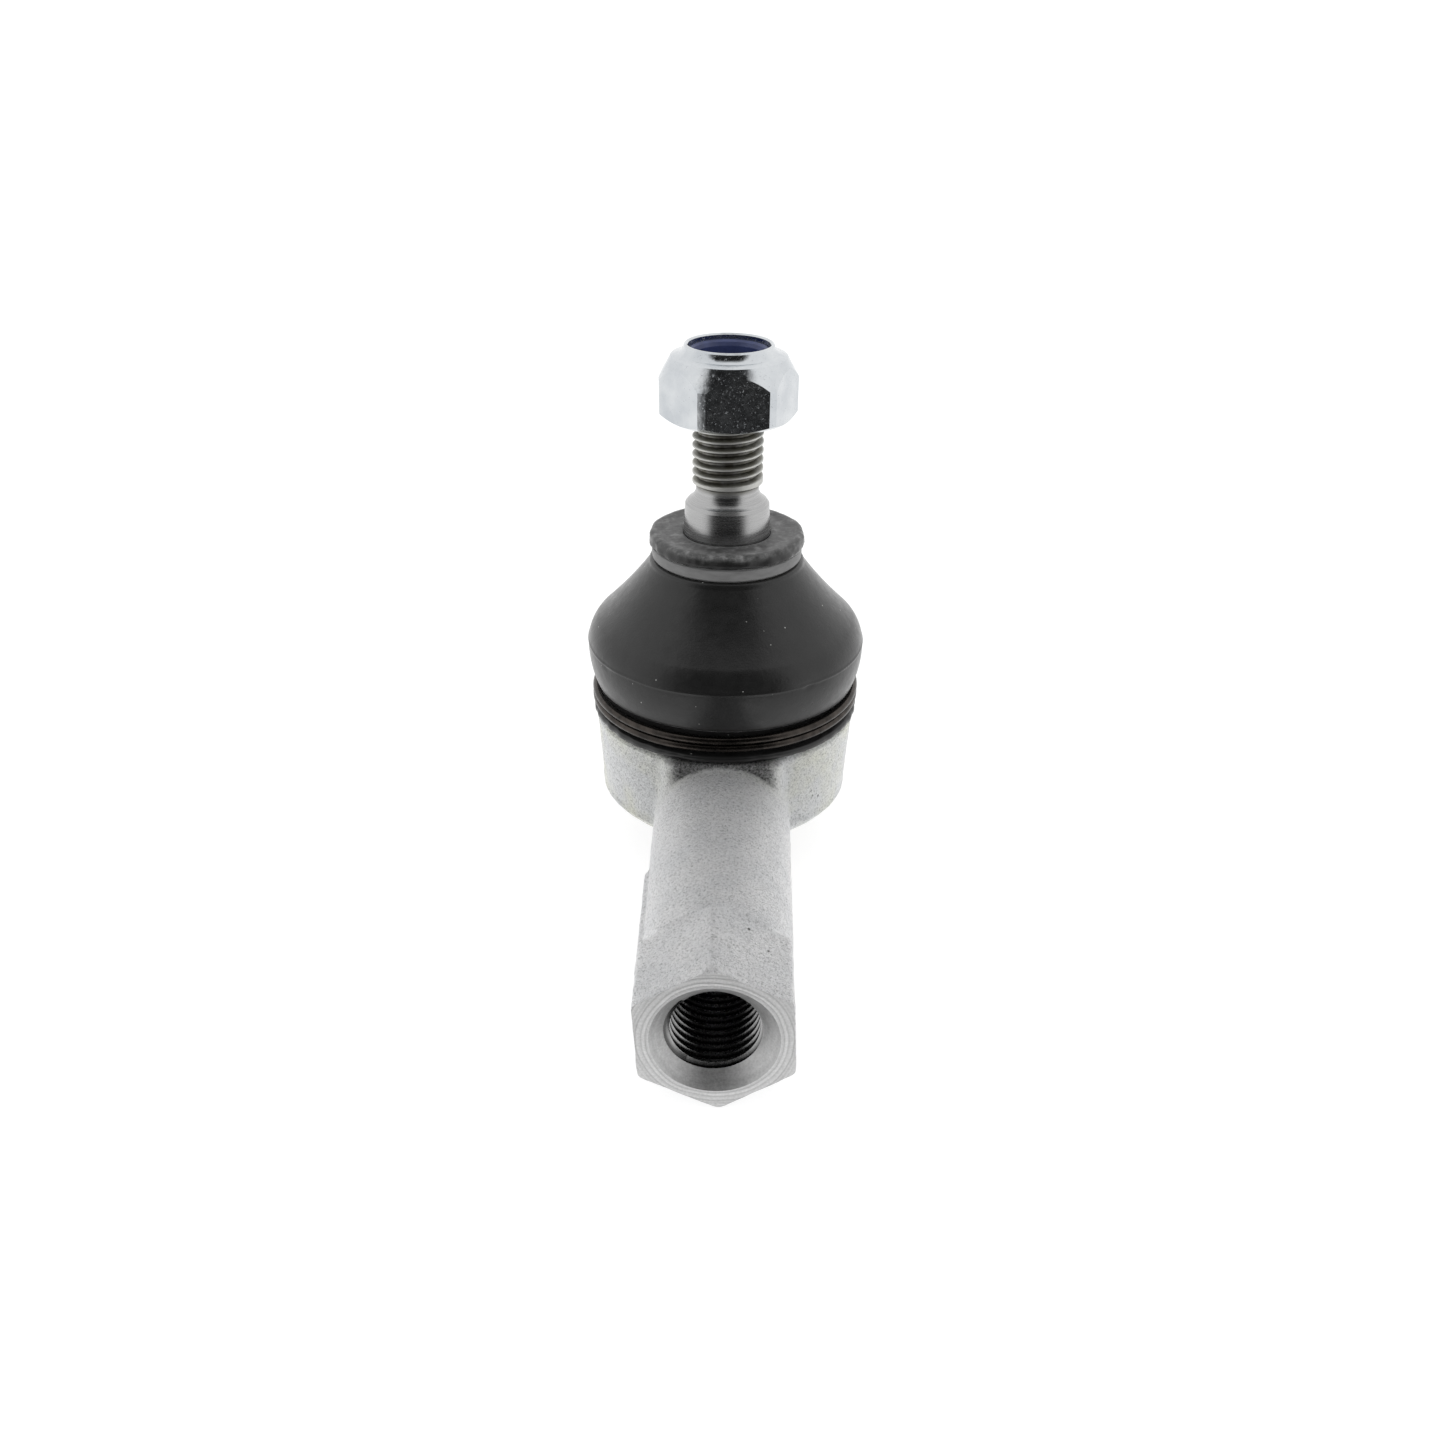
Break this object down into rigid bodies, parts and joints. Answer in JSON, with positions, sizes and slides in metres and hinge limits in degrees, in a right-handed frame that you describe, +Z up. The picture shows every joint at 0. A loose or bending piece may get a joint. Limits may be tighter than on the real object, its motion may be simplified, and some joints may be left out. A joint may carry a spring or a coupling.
{
  "type": "tie rod end",
  "caption": "Steering tie rod end: forged socket with a hexagonal threaded shank, a booted ball stud with a tapered seat, and a nylon-insert lock nut on its thread.",
  "frame": {"origin": "centre of the flat under the socket, on the ball stud's axis", "axes": "+Z up the ball stud, -Y along the shank to its threaded mouth"},
  "size_m": [0.0404, 0.0846, 0.0743],
  "materials": {
    "zinc_forging": "rough forged steel with a bright zinc plating",
    "seat_plastic": "moulded acetal",
    "ring_steel": "turned steel",
    "stud_steel": "turned steel with rolled thread",
    "boot_rubber": "moulded black rubber, half matt",
    "ring_plastic": "smooth dark grey",
    "spring_wire": "drawn wire, brown temper colour",
    "nut_zinc": "bright bluish zinc",
    "nylon": "dark blue nylon"
  },
  "bodies": {
    "socket": {"socket_body": "zinc_forging", "ball_seat": "seat_plastic", "closing_ring": "ring_steel", "lower_boot_ring": "spring_wire"},
    "boot": {"dust_boot": "boot_rubber"},
    "boot_top": {"upper_boot_ring": "ring_plastic"},
    "stud": {"ball_stud": "stud_steel"},
    "nut_lift": {"nut_insert": "nylon"},
    "nut": {"nut_body": "nut_zinc"}
  },
  "joints": [
    {"name": "swing_across", "type": "hinge", "parent": "socket", "child": "boot", "pos_m": [0, 0, 0.0138], "axis": [0, 1, 0], "range_deg": [-20, 20], "deforming": ["dust_boot"]},
    {"name": "swing_along", "type": "hinge", "parent": "boot", "child": "boot_top", "pos_m": [0, 0, 0.0138], "axis": [1, 0, 0], "range_deg": [-20, 20], "deforming": ["dust_boot"]},
    {"name": "stud_spin", "type": "hinge", "parent": "boot_top", "child": "stud", "pos_m": [0, 0, 0.0138], "axis": [0, 0, 1], "continuous": true},
    {"name": "nut_travel", "type": "slide", "parent": "stud", "child": "nut_lift", "axis": [0, 0, 1], "range_m": [-0.00875, 0.00625], "deforming": ["nut_insert"]},
    {"name": "nut_turn", "type": "hinge", "parent": "nut_lift", "child": "nut", "pos_m": [0, 0, 0.0643], "axis": [0, 0, 1], "range_deg": [-2525, 1805]}
  ],
  "couplings": [
    {"joint": "nut_turn", "follows": "nut_travel", "rad_per_m": 5026.5}
  ]
}
